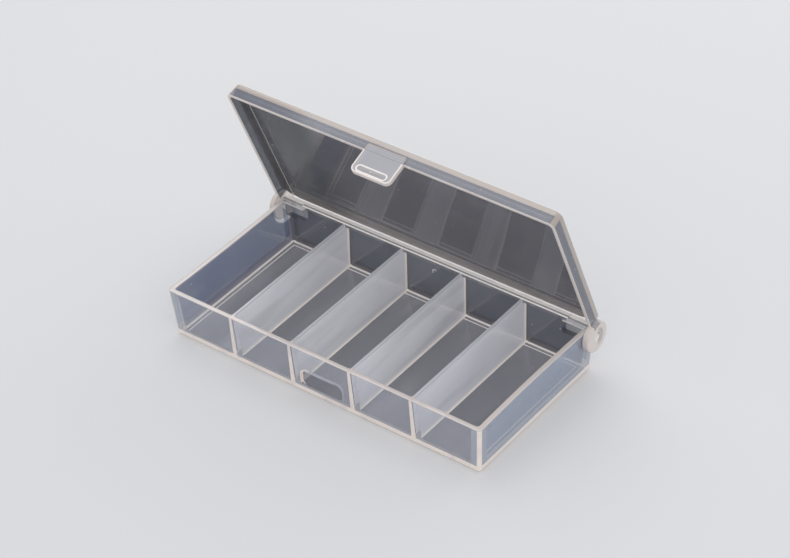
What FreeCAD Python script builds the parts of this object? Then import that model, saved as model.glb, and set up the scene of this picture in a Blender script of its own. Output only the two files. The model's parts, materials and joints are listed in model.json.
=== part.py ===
import FreeCAD, Part
import os
import Sketcher
from types import SimpleNamespace

# A shallow bead box in two mouldings: a tray that dividers part into compartments, and a lid that
# swings on two snap-in pins and latches over the front wall with a springy tab.
# X runs left to right along the box, Y from the front wall to the back wall, Z up.
# The origin is the middle of the tray's flat underside. The lid stands open, as the box is used.

SIZES = {
    "tray_long": (130.0, "tray outside length at the rim"),
    "tray_deep": (65.0, "tray outside depth at the rim, front to back"),
    "tray_high": (19.0, "rim height over the underside"),
    "end_draft": (1.45, "how far each end wall leans in from rim to underside"),
    "side_draft": (1.0, "how far the front and back walls lean in from rim to underside"),
    "end_wall": (1.85, "end wall thickness"),
    "front_wall": (1.7, "front wall thickness"),
    "back_wall": (1.8, "back wall thickness below its bead"),
    "floor_thick": (1.3, "floor thickness"),
    "tray_corner": (1.2, "outer corner radius"),
    "foot_round": (1.0, "rounding round the underside"),
    "rim_round": (0.3, "rounding along the edges of the rim"),
    "cup_corner": (2.0, "radius of the tray's four inner corners"),
    "divider_corner": (0.8, "radius where a divider meets a wall"),
    "floor_round": (0.6, "rounding round the floor of a compartment"),
    "divider_count": (4, "dividers in the tray"),
    "divider_pitch": (24.95, "middle of one divider to the middle of the next"),
    "divider_top": (1.1, "divider thickness at its top"),
    "divider_foot": (1.85, "divider thickness at the floor"),
    "bead_proud": (1.2, "how far the back wall's bead stands into the tray"),
    "bead_deep": (1.2, "how far the bead reaches below the rim"),
    "bead_rise": (0.4, "how far the bead stands above the rim"),
    "bead_inset": (0.3, "back of the bead to the back of the rim"),
    "bead_round": (0.8, "rounding along the back of the bead"),
    "bead_end": (9.0, "end of the bead to the end of the tray"),
    "hinge_drop": (3.2, "pin axis below the rim"),
    "hinge_inset": (2.4, "pin axis to the back of the rim"),
    "pin_radius": (1.5, "pin radius"),
    "pin_play": (0.05, "radial play of a pin in its socket"),
    "pin_long": (2.6, "pin length out of its ear"),
    "pin_round": (0.4, "rounding round the end of a pin"),
    "pin_end_gap": (0.2, "space past the end of a pin"),
    "socket_wall": (0.65, "block left in front of a pin socket and below it"),
    "block_long": (8.5, "pin block length from the end wall inwards"),
    "block_round": (0.5, "rounding along the lower edge of a pin block"),
    "lid_gap": (0.2, "gap between tray and skirt, and between tray and ear"),
    "seat_gap": (0.2, "gap between dividers and lid when it is shut"),
    "skirt_wall": (1.15, "skirt thickness at its free edge"),
    "skirt_lap": (3.5, "how far the skirt reaches down past the rim"),
    "lid_plate": (1.4, "lid thickness at its border"),
    "lid_draft": (0.3, "how far the skirt leans in towards the top"),
    "lid_edge_round": (0.5, "rounding round the lid's top"),
    "lid_back_corner": (4.0, "lid back corner radius"),
    "lid_back_inset": (2.5, "lid back edge in front of the pin axis"),
    "panel_step": (0.3, "how far the lid's inner panel stands below its border"),
    "panel_gap": (0.85, "inner panel's edge to the inside of the tray's walls"),
    "panel_corner": (3.5, "inner panel corner radius"),
    "ear_radius": (5.7, "ear radius"),
    "ear_thick": (2.0, "ear thickness"),
    "ear_round": (0.45, "rounding round the outside of an ear"),
    "dimple_radius": (1.3, "radius of the dimple behind a pin"),
    "dimple_deep": (1.3, "depth of the dimple behind a pin"),
    "tab_wide": (16.0, "latch tab width"),
    "tab_thick": (1.5, "latch tab thickness"),
    "tab_long": (9.0, "latch tab length below the skirt"),
    "tab_root": (2.8, "height of the tab's root on the skirt"),
    "tab_root_corner": (1.0, "corner radius at the top of the tab's root"),
    "tab_corner": (2.2, "corner radius at the foot of the tab"),
    "tab_round": (0.3, "rounding along the outer edges of the tab"),
    "flex_gap": (0.1, "cut between the springy tab and its root"),
    "catch_long": (11.6, "catch bar length"),
    "catch_radius": (1.0, "catch bar radius"),
    "catch_hold": (0.45, "how far the catch bar reaches behind the lip"),
    "catch_gap": (0.6, "catch bar below the lip when the lid is shut"),
    "ledge_high": (10.1, "underside of the lip over the tray's underside"),
    "lip_high": (0.9, "height of the lip"),
    "lip_long": (12.6, "length of the lip"),
    "lip_gap": (0.2, "lip to the inside of the tab"),
    "recess_wide": (17.2, "latch recess width"),
    "recess_deep": (0.9, "latch recess depth at its top"),
    "recess_foot": (3.0, "bottom of the latch recess over the underside"),
    "recess_corner": (2.5, "corner radius at the top of the latch recess"),
    "recess_foot_corner": (1.0, "corner radius at the bottom of the latch recess"),
    "cut_overrun": (1.0, "how far a cut runs past the face that it opens"),
    "lid_open": (69.5, "degrees that the lid stands open"),
}
# How far a joined piece reaches into the wall that carries it, as a share of the wall's thickness.
BITE_SHARE = 1 / 3
# Two places closer than this, in millimetres, are one place.
SAME = 1e-4


class Size:
    """A size as a number, together with the sheet formula that it follows."""

    def __init__(self, number, formula):
        self.number = number
        self.formula = formula

    def _join(self, other, sign, work):
        other = other if isinstance(other, Size) else Size(other, repr(other))
        return Size(work(self.number, other.number), f"({self.formula} {sign} {other.formula})")

    def __add__(self, other):
        return self._join(other, "+", lambda a, b: a + b)

    def __sub__(self, other):
        return self._join(other, "-", lambda a, b: a - b)

    def __mul__(self, other):
        return self._join(other, "*", lambda a, b: a * b)

    def __truediv__(self, other):
        return self._join(other, "/", lambda a, b: a / b)

    def __neg__(self):
        return Size(-self.number, f"(-1 * {self.formula})")


ZERO = Size(0.0, "0")
doc = FreeCAD.newDocument("bead_box")
sheet = doc.addObject("Spreadsheet::Sheet", "sizes")
for row, (name, (number, meaning)) in enumerate(SIZES.items(), 1):
    sheet.set(f"A{row}", name)
    sheet.set(f"B{row}", str(number))
    sheet.setAlias(f"B{row}", name)
    sheet.set(f"C{row}", meaning)
doc.recompute()
s = SimpleNamespace(**{name: Size(number, f"sizes.{name}") for name, (number, _) in SIZES.items()})

# Places that pieces share, worked out from the sizes.
half_long = s.tray_long / 2
half_deep = s.tray_deep / 2
pin_y = half_deep - s.hinge_inset
pin_z = s.tray_high - s.hinge_drop
skirt_in_x = half_long + s.lid_gap
skirt_in_y = half_deep + s.lid_gap
skirt_out_x = skirt_in_x + s.skirt_wall
skirt_out_y = skirt_in_y + s.skirt_wall
skirt_foot = s.tray_high - s.skirt_lap
panel_z = s.tray_high + s.seat_gap
border_z = panel_z + s.panel_step
lid_top = border_z + s.lid_plate
lid_back = pin_y - s.lid_back_inset
lip_face = skirt_in_y - s.lip_gap


def outer_face(half, draft, height):
    """How far out a leaning wall's outer face lies at a height over the underside."""
    return half - draft * (s.tray_high - height) / s.tray_high


def bind(thing, path, size):
    """Ties a length of a feature, or of a sketch's constraint, to a size's formula."""
    thing.setExpression(path, size.formula + " * 1mm")


def origin_part(body, role):
    """One of the body's own planes or axes."""
    return [part for part in body.Origin.OriginFeatures if part.Role == role][0]


def new_sketch(body, name, plane, along):
    """An empty sketch on one of the body's own planes, moved along that plane's normal."""
    sketch = body.newObject("Sketcher::SketchObject", name)
    sketch.AttachmentSupport = [(origin_part(body, plane), "")]
    sketch.MapMode = "FlatFace"
    sketch.AttachmentOffset = FreeCAD.Placement(FreeCAD.Vector(0, 0, along.number), FreeCAD.Rotation())
    bind(sketch, "AttachmentOffset.Base.z", along)
    return sketch


def hold(sketch, kind, place, *points):
    """Adds a dimension to a sketch and ties it to a size."""
    held = sketch.addConstraint(Sketcher.Constraint(kind, *points, place.number))
    bind(sketch, f"Constraints[{held}]", place)


def outlined(body, name, plane, along, left, right, low, high, radii=(None, None, None, None)):
    """A sketch of a rectangle; radii run from low left by low right to high left, None is sharp."""
    sketch = new_sketch(body, name, plane, along)
    spots = [(left, low), (right, low), (right, high), (left, high)]
    turns = [(1, 1), (-1, 1), (-1, -1), (1, -1)]
    corners = [FreeCAD.Vector(x.number, y.number, 0) for x, y in spots]
    trims = [radius.number if radius else 0 for radius in radii]
    sides = []
    for index in range(4):
        after = (index + 1) % 4
        way = (corners[after] - corners[index]).normalize()
        start = corners[index] + way * trims[index]
        end = corners[after] - way * trims[after]
        sides.append(sketch.addGeometry(Part.LineSegment(start, end), False))
    for index, radius in enumerate(radii):
        before, after = sides[index - 1], sides[index]
        if radius is None:
            sketch.addConstraint(Sketcher.Constraint("Coincident", before, 2, after, 1))
            continue
        centre = corners[index] + FreeCAD.Vector(*turns[index], 0) * radius.number
        circle = Part.Circle(centre, FreeCAD.Vector(0, 0, 1), radius.number)
        begin = circle.parameter(sketch.getPoint(before, 2))
        finish = circle.parameter(sketch.getPoint(after, 1))
        arc = sketch.addGeometry(Part.ArcOfCircle(circle, begin, finish), False)
        sketch.addConstraint(Sketcher.Constraint("Tangent", before, 2, arc, 1))
        sketch.addConstraint(Sketcher.Constraint("Tangent", arc, 2, after, 1))
        hold(sketch, "Radius", radius, arc)
    for side, axis, kind, place in (
        (sides[0], "Horizontal", "DistanceY", low),
        (sides[1], "Vertical", "DistanceX", right),
        (sides[2], "Horizontal", "DistanceY", high),
        (sides[3], "Vertical", "DistanceX", left),
    ):
        sketch.addConstraint(Sketcher.Constraint(axis, side))
        hold(sketch, kind, place, -1, 1, side, 1)
    return sketch


def ringed(body, name, along, across, up, radius):
    """A sketch of a circle about an axis that runs along X."""
    sketch = new_sketch(body, name, "YZ_Plane", along)
    centre = FreeCAD.Vector(across.number, up.number, 0)
    circle = sketch.addGeometry(Part.Circle(centre, FreeCAD.Vector(0, 0, 1), radius.number), False)
    hold(sketch, "DistanceX", across, -1, 1, circle, 3)
    hold(sketch, "DistanceY", up, -1, 1, circle, 3)
    hold(sketch, "Radius", radius, circle)
    return sketch


def extrude(body, kind, sketch, length, backwards=False, both_ways=False):
    """A pad or a pocket of a sketch; a pocket cuts against the plane's normal unless backwards."""
    feature = body.newObject(f"PartDesign::{kind}", sketch.Name + kind)
    feature.Profile = sketch
    feature.Reversed = backwards
    feature.SideType = "Symmetric" if both_ways else "One side"
    bind(feature, "Length", length)
    body.Tip = feature
    return feature


def wedge(body, kind, name, bottom, top, low, high):
    """A block with leaning flat sides, added or cut out; low and high give left, right, front and back."""
    feature = body.newObject(f"PartDesign::{kind}Wedge", name)
    feature.AttachmentSupport = [(origin_part(body, "XZ_Plane"), "")]
    feature.MapMode = "FlatFace"
    # The plane's normal points forwards, so the block's own Z runs from back to front.
    for path, size in (
        ("Ymin", bottom), ("Xmin", low[0]), ("Xmax", low[1]), ("Zmax", -low[2]), ("Zmin", -low[3]),
        ("Ymax", top), ("X2min", high[0]), ("X2max", high[1]), ("Z2max", -high[2]), ("Z2min", -high[3]),
    ):
        setattr(feature, path, size.number)
        bind(feature, path, size)
    body.Tip = feature
    return feature


def round_edges(body, name, radius, chosen):
    """Rounds the edges of the body so far that a test picks out."""
    doc.recompute()
    base = body.Tip
    edges = [f"Edge{number}" for number, edge in enumerate(base.Shape.Edges, 1) if chosen(edge)]
    feature = body.newObject("PartDesign::Fillet", name)
    feature.Base = (base, edges)
    bind(feature, "Radius", radius)
    body.Tip = feature


def level(height):
    """A test for edges that lie flat at a height."""
    def chosen(edge):
        box = edge.BoundBox
        return abs(box.ZMin - height.number) < SAME and abs(box.ZMax - height.number) < SAME
    return chosen


def upright(low, high, place_fits):
    """A test for edges that run from one height up to another and lie where they should along X and Y."""
    def chosen(edge):
        box = edge.BoundBox
        spans = abs(box.ZMin - low.number) < SAME and abs(box.ZMax - high.number) < SAME
        return spans and place_fits(edge.CenterOfMass)
    return chosen


def circular(reach, radius):
    """A test for round edges about an X axis, that far out to either side."""
    def chosen(edge):
        if not isinstance(edge.Curve, Part.Circle):
            return False
        out = abs(abs(edge.Curve.Center.x) - reach.number)
        return out < SAME and abs(edge.Curve.Radius - radius.number) < SAME
    return chosen


def mirror_ends(body, name, features):
    """Copies features from one end of the body to the other."""
    feature = body.newObject("PartDesign::Mirrored", name)
    feature.Originals = features
    feature.MirrorPlane = (origin_part(body, "YZ_Plane"), [""])
    body.Tip = feature


def compartment(body, name, floor_sides, rim_sides):
    """Cuts a compartment that widens from the floor to the rim, between two places along X."""
    floor_face = outer_face(half_deep, s.side_draft, s.floor_thick)
    low = (*floor_sides, s.front_wall - floor_face, floor_face - s.back_wall)
    high = (*rim_sides, s.front_wall - half_deep, half_deep - s.back_wall)
    return wedge(body, "Subtractive", name, s.floor_thick, s.tray_high, low, high)


def make_tray():
    """The tray: leaning walls, compartments, the back bead, pin blocks and the latch recess."""
    body = doc.addObject("PartDesign::Body", "tray")
    foot_x, foot_y = half_long - s.end_draft, half_deep - s.side_draft
    wedge(body, "Additive", "Shell", ZERO, s.tray_high, (-foot_x, foot_x, -foot_y, foot_y),
          (-half_long, half_long, -half_deep, half_deep))
    round_edges(body, "CornerRound", s.tray_corner, upright(ZERO, s.tray_high, lambda spot: True))
    round_edges(body, "FootRound", s.foot_round, level(ZERO))

    # The first divider stands at the left; the compartments between dividers repeat from there.
    first = -s.divider_pitch * (s.divider_count - 1) / 2
    second = first + s.divider_pitch
    end_floor = s.end_wall - outer_face(half_long, s.end_draft, s.floor_thick)
    end_rim = s.end_wall - half_long
    end = compartment(body, "End", (end_floor, first - s.divider_foot / 2),
                      (end_rim, first - s.divider_top / 2))
    mirror_ends(body, "OtherEnd", [end])
    middle = compartment(body, "Middle", (first + s.divider_foot / 2, second - s.divider_foot / 2),
                         (first + s.divider_top / 2, second - s.divider_top / 2))
    row_of = body.newObject("PartDesign::LinearPattern", "MiddleRow")
    row_of.Originals = [middle]
    row_of.Direction = (origin_part(body, "X_Axis"), [""])
    bind(row_of, "Length", s.divider_pitch * (s.divider_count - 2))
    row_of.setExpression("Occurrences", (s.divider_count - 1).formula)
    body.Tip = row_of
    outermost = (-first + s.divider_pitch / 2).number
    round_edges(body, "CupRound", s.cup_corner,
                upright(s.floor_thick, s.tray_high, lambda spot: abs(spot.x) > outermost))
    round_edges(body, "DividerRound", s.divider_corner,
                upright(s.floor_thick, s.tray_high, lambda spot: abs(spot.x) < outermost))
    round_edges(body, "FloorRound", s.floor_round, level(s.floor_thick))
    round_edges(body, "RimRound", s.rim_round, level(s.tray_high))

    bead_front = half_deep - s.back_wall - s.bead_proud
    bead = outlined(body, "Bead", "YZ_Plane", ZERO, bead_front, half_deep - s.bead_inset,
                    s.tray_high - s.bead_deep, s.tray_high + s.bead_rise,
                    (None, None, s.bead_round, s.rim_round))
    extrude(body, "Pad", bead, s.tray_long - s.bead_end * 2, both_ways=True)

    socket_radius = s.pin_radius + s.pin_play
    block_end = half_long - s.end_wall - s.block_long
    block = outlined(body, "Block", "YZ_Plane", block_end, pin_y - socket_radius - s.socket_wall,
                     half_deep - s.back_wall + s.back_wall * BITE_SHARE,
                     pin_z - socket_radius - s.socket_wall, s.tray_high,
                     (s.block_round, None, None, s.rim_round))
    block_pad = extrude(body, "Pad", block, s.block_long + s.end_wall * BITE_SHARE)
    socket_end = skirt_in_x - s.pin_long - s.pin_end_gap
    socket = ringed(body, "Socket", socket_end, pin_y, pin_z, socket_radius)
    socket_cut = extrude(body, "Pocket", socket, half_long - socket_end + s.cut_overrun, backwards=True)
    mirror_ends(body, "OtherHinge", [block_pad, socket_cut])

    front_at_ledge = outer_face(half_deep, s.side_draft, s.ledge_high)
    recess = outlined(body, "Recess", "XZ_Plane", front_at_ledge - s.recess_deep,
                      -s.recess_wide / 2, s.recess_wide / 2, s.recess_foot, s.ledge_high,
                      (s.recess_foot_corner, s.recess_foot_corner, s.recess_corner, s.recess_corner))
    extrude(body, "Pocket", recess, s.recess_deep + s.cut_overrun, backwards=True)
    lip_root = front_at_ledge - s.front_wall * BITE_SHARE
    lip = outlined(body, "Lip", "XZ_Plane", lip_root, -s.lip_long / 2, s.lip_long / 2,
                   s.ledge_high, s.ledge_high + s.lip_high)
    extrude(body, "Pad", lip, lip_face - lip_root)
    return body


def make_lid():
    """The lid: plate, skirt on three sides, inner panel, two ears with pins, and the tab's root."""
    body = doc.addObject("PartDesign::Body", "lid")
    inner_corner = s.tray_corner + s.lid_gap
    front_corner = inner_corner + s.skirt_wall
    top_x, top_y = skirt_out_x - s.lid_draft, skirt_out_y - s.lid_draft
    wedge(body, "Additive", "Plate", skirt_foot, lid_top, (-skirt_out_x, skirt_out_x, -skirt_out_y, lid_back),
          (-top_x, top_x, -top_y, lid_back))
    round_edges(body, "FrontCorners", front_corner, upright(skirt_foot, lid_top, lambda spot: spot.y < 0))
    round_edges(body, "BackCorners", s.lid_back_corner, upright(skirt_foot, lid_top, lambda spot: spot.y > 0))
    round_edges(body, "LidEdgeRound", s.lid_edge_round, level(lid_top))
    inside = outlined(body, "Inside", "XY_Plane", border_z, -skirt_in_x, skirt_in_x,
                      -skirt_in_y, lid_back + s.cut_overrun, (inner_corner, inner_corner, None, None))
    extrude(body, "Pocket", inside, border_z - skirt_foot + s.cut_overrun)
    panel_x = half_long - s.end_wall - s.panel_gap
    panel_front = half_deep - s.front_wall - s.panel_gap
    panel = outlined(body, "Panel", "XY_Plane", panel_z, -panel_x, panel_x, -panel_front, lid_back,
                     [s.panel_corner] * 4)
    extrude(body, "Pad", panel, s.panel_step + s.lid_plate * BITE_SHARE)

    ear = extrude(body, "Pad", ringed(body, "Ear", skirt_in_x, pin_y, pin_z, s.ear_radius), s.ear_thick)
    pin = extrude(body, "Pad", ringed(body, "Pin", skirt_in_x, pin_y, pin_z, s.pin_radius), s.pin_long,
                  backwards=True)
    ear_face = skirt_in_x + s.ear_thick
    dimple = extrude(body, "Pocket", ringed(body, "Dimple", ear_face, pin_y, pin_z, s.dimple_radius),
                     s.dimple_deep)
    mirror_ends(body, "OtherEar", [ear, pin, dimple])
    round_edges(body, "EarRound", s.ear_round, circular(ear_face, s.ear_radius))
    round_edges(body, "PinRound", s.pin_round, circular(skirt_in_x - s.pin_long, s.pin_radius))

    root_start = skirt_in_y + s.skirt_wall * BITE_SHARE
    root = outlined(body, "Root", "XZ_Plane", root_start, -s.tab_wide / 2, s.tab_wide / 2,
                    skirt_foot, skirt_foot + s.tab_root, (None, None, s.tab_root_corner, s.tab_root_corner))
    extrude(body, "Pad", root, skirt_in_y + s.tab_thick - root_start)
    return body


def make_latch_tab():
    """The springy tab below the skirt, with the round catch bar half sunk in its inner face."""
    body = doc.addObject("PartDesign::Body", "latch_tab")
    tab_top = skirt_foot - s.flex_gap
    tongue = outlined(body, "Tongue", "XZ_Plane", skirt_in_y, -s.tab_wide / 2, s.tab_wide / 2,
                      skirt_foot - s.tab_long, tab_top, (s.tab_corner, s.tab_corner, None, None))
    extrude(body, "Pad", tongue, s.tab_thick)
    outer = -(skirt_in_y + s.tab_thick).number

    def on_outer_face(edge):
        box = edge.BoundBox
        at_face = abs(box.YMin - outer) < SAME and abs(box.YMax - outer) < SAME
        return at_face and box.ZMin < tab_top.number - SAME
    round_edges(body, "TabRound", s.tab_round, on_outer_face)
    bar = ringed(body, "Catch", ZERO, -(lip_face - s.catch_hold + s.catch_radius),
                 s.ledge_high - s.catch_gap - s.catch_radius, s.catch_radius)
    extrude(body, "Pad", bar, s.catch_long, both_ways=True)
    return body


def swing_open(body):
    """Turns a body that was drawn shut about the pin axis, to the angle at which the lid stands."""
    axis_point = f"create(<<vector>>; 0mm; {pin_y.formula} * 1mm; {pin_z.formula} * 1mm)"
    turn = f"create(<<rotation>>; create(<<vector>>; -1; 0; 0); {s.lid_open.formula} * 1deg)"
    body.setExpression("Placement", f"create(<<placement>>; create(<<vector>>; 0; 0; 0); {turn}; {axis_point})")


def check_and_write(bodies):
    """Stops on any failed feature or empty cut; otherwise writes each sub-part to its own file."""
    failed = [thing.Name for thing in doc.Objects if {"Invalid", "Error"} & set(thing.State)]
    if failed:
        raise RuntimeError(f"failed features: {failed}")
    for thing in doc.Objects:
        if thing.TypeId in ("PartDesign::Pocket", "PartDesign::SubtractiveWedge"):
            if thing.Shape.Volume > thing.BaseFeature.Shape.Volume - SAME:
                raise RuntimeError(f"{thing.Name} cuts nothing")
    for body in bodies:
        if body.Shape.isNull() or not body.Shape.isValid() or len(body.Shape.Solids) != 1:
            raise RuntimeError(f"{body.Label} is not one valid solid")
    os.makedirs("parts", exist_ok=True)
    for body in bodies:
        body.Shape.exportStep(f"parts/{body.Label}.step")
        print(f"{body.Label}: {body.Shape.Volume:.1f} mm3, {body.Shape.BoundBox}")


tray = make_tray()
lid = make_lid()
latch_tab = make_latch_tab()
for moving in (lid, latch_tab):
    swing_open(moving)
doc.recompute()
check_and_write([tray, lid, latch_tab])
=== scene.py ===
import json
import math
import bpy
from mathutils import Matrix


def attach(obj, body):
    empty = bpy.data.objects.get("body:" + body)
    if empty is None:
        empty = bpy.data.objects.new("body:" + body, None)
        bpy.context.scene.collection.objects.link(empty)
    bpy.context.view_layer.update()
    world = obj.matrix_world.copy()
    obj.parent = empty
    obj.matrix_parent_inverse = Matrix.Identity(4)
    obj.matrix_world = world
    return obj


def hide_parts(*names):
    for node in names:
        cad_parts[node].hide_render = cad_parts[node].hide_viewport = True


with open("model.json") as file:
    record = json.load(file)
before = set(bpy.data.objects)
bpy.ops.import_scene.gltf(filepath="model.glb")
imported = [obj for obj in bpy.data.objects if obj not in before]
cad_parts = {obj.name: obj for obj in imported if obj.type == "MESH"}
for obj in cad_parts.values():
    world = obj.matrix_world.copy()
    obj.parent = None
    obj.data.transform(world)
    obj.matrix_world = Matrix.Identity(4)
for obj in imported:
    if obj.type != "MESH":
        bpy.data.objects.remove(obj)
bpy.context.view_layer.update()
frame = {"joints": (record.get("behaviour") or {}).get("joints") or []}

from types import SimpleNamespace

import bpy
import numpy as np
from bpy.props import FloatProperty, FloatVectorProperty, IntProperty, PointerProperty
from bpy.types import Operator, Panel, PropertyGroup
from mathutils import Euler, Matrix, Vector
from mathutils.geometry import delaunay_2d_cdt

bl_info = {
    "name": "Bead Box",
    "version": (1, 0, 0),
    "blender": (4, 5, 0),
    "location": "View3D > Sidebar > Bead Box",
    "description": "A clear bead box in two mouldings, a tray with dividers and a hinged lid, standing open",
    "category": "Object",
}

# Shapes are worked out in millimetres, with the lid shut, and written to the meshes in metres.
MM = 0.001
HINGE = next(joint for joint in frame["joints"] if joint["name"] == "lid_hinge")
PIN_Y, PIN_Z = (metres / MM for metres in HINGE["pos_m"][1:])
OPENING = math.radians(-HINGE["range_deg"][0])

# A bar's loop lies across its run, in the other two axes: X, Y and Z are 0, 1 and 2, the run's last.
ALONG_X = (1, 2, 0)
ALONG_Y = (0, 2, 1)
ALONG_Z = (0, 1, 2)

# Radius of a corner that looks sharp, and how far a cutter reaches past what it cuts.
SHARP = 0.05
OVERSHOOT = 1.0

# Faces that meet at a greater angle keep a sharp edge between them.
CREASE = math.radians(32)

# An end wall's bow grows with this power of the height.
BOW_POWER = 1.5

# How deep below the outside a wall's outer face is painted, and between which depths its inner face.
OUTER_FACE = 0.6
INNER_FACE = (1.2, 2.4)

# Half the width over which one painted colour fades into the next.
SOFT = 0.08

# How flow streaks are drawn out: along the tray's depth, or along the lid's length.
STREAKS_IN_TRAY = (1.0, 0.12, 1.0)
STREAKS_IN_LID = (0.15, 1.0, 1.0)


def length(name, description, millimetres):
    return FloatProperty(name=name, description=description, default=millimetres * MM, unit="LENGTH",
                         subtype="DISTANCE")


def colour(name, description, red, green, blue):
    return FloatVectorProperty(name=name, description=description, default=(red, green, blue), min=0, max=1,
                               subtype="COLOR")


def point(name, description, x, y, z):
    return FloatVectorProperty(name=name, description=description, default=(x, y, z), unit="LENGTH",
                               subtype="TRANSLATION")


def share(name, description, part):
    return FloatProperty(name=name, description=description, default=part, min=0, max=1, subtype="FACTOR")


def hidden_share(name, what, part):
    return share(f"{name} cover", f"How much {what} hides", part)


class BeadBoxTray(PropertyGroup):
    """Sizes of the tray."""

    long: length("Length", "Outside length at the rim", 130.0)
    deep: length("Depth", "Outside depth at the rim, front to back", 65.0)
    high: length("Height", "Rim over the underside", 19.0)
    end_lean: length("End lean", "How far each end wall leans in from rim to underside", 1.45)
    side_lean: length("Side lean", "How far the front and back walls lean in from rim to underside", 1.0)
    end_wall: length("End wall", "Thickness of the end walls", 1.85)
    front_wall: length("Front wall", "Thickness of the front wall", 1.7)
    back_wall: length("Back wall", "Thickness of the back wall below its bead", 1.8)
    floor: length("Floor", "Thickness of the floor", 1.3)
    corner: length("Corner", "Radius of the outer corners", 1.2)
    foot_round: length("Foot rounding", "Rounding round the underside", 1.0)
    rim_round: length("Rim rounding", "Rounding along the edges of the rim", 0.3)
    floor_round: length("Floor rounding", "Rounding round the floor of a compartment", 0.6)
    cup_corner: length("Cup corner", "Radius of the four inner end corners at the rim", 0.9)
    divider_corner: length("Divider corner", "Radius where a divider meets a wall, at the rim", 0.6)
    corner_growth: length("Corner growth", "How much an inner radius grows from rim to floor", 0.7)
    dividers: IntProperty(name="Dividers", description="Dividers in the tray", default=4, min=1)
    pitch: length("Pitch", "Middle of one divider to the middle of the next", 24.95)
    divider_top: length("Divider top", "Thickness of a divider at its top", 1.1)
    divider_foot: length("Divider foot", "Thickness of a divider at the floor", 1.85)
    bow_left: length("Left bow", "How far the left end wall bows in at the middle of its rim", 0.4)
    bow_right: length("Right bow", "How far the right end wall bows in at the middle of its rim", 0.55)
    bead_proud: length("Bead stand", "How far the back wall's bead stands into the tray", 1.2)
    bead_deep: length("Bead depth", "How far the bead reaches below the rim", 1.2)
    bead_rise: length("Bead rise", "How far the bead stands above the rim", 0.4)
    bead_inset: length("Bead inset", "Back of the bead to the back of the rim", 0.3)
    bead_round: length("Bead rounding", "Rounding along the back of the bead", 0.8)
    bead_foot_round: length("Bead foot rounding", "Rounding under the front of the bead", 0.15)
    bead_front_round: length("Bead front rounding", "Rounding along the top of the bead's front", 0.3)
    bead_end: length("Bead end", "End of the bead to the end of the tray", 9.0)
    bead_end_round: length("Bead end rounding", "Rounding round the end of the bead", 0.12)
    pin: length("Pin", "Radius of the hinge pins", 1.5)
    pin_play: length("Pin play", "Radial play of a pin in its socket", 0.05)
    pin_long: length("Pin length", "Length of a pin out of its ear", 2.6)
    pin_end_gap: length("Pin end gap", "Space past the end of a pin", 0.2)
    socket_wall: length("Socket wall", "Block left in front of a pin socket and below it", 0.65)
    block_long: length("Block length", "Pin block from the end wall inwards", 8.5)
    block_round: length("Block rounding", "Rounding along the lower edge of a pin block", 0.5)
    block_top_round: length("Block top rounding", "Rounding along the top of a pin block", 0.3)
    block_end_round: length("Block end rounding", "Rounding round the end of a pin block", 0.25)
    block_top_gap: length("Block top gap", "Top of a pin block below the rim", 0.02)
    ledge_high: length("Ledge", "Underside of the latch lip over the underside", 10.1)
    lip_high: length("Lip height", "Height of the latch lip", 0.9)
    lip_long: length("Lip length", "Length of the latch lip", 12.6)
    lip_corner: length("Lip corner", "Corner radius of the latch lip", 0.2)
    lip_round: length("Lip rounding", "Rounding along the outer edges of the latch lip", 0.15)
    recess_wide: length("Recess width", "Width of the latch recess", 17.2)
    recess_deep: length("Recess depth", "Depth of the latch recess at its top", 0.9)
    recess_foot: length("Recess foot", "Bottom of the latch recess over the underside", 3.0)
    recess_corner: length("Recess corner", "Corner radius at the top of the latch recess", 2.5)
    recess_foot_corner: length("Recess foot corner", "Corner radius at the bottom of the latch recess", 1.0)


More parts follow.
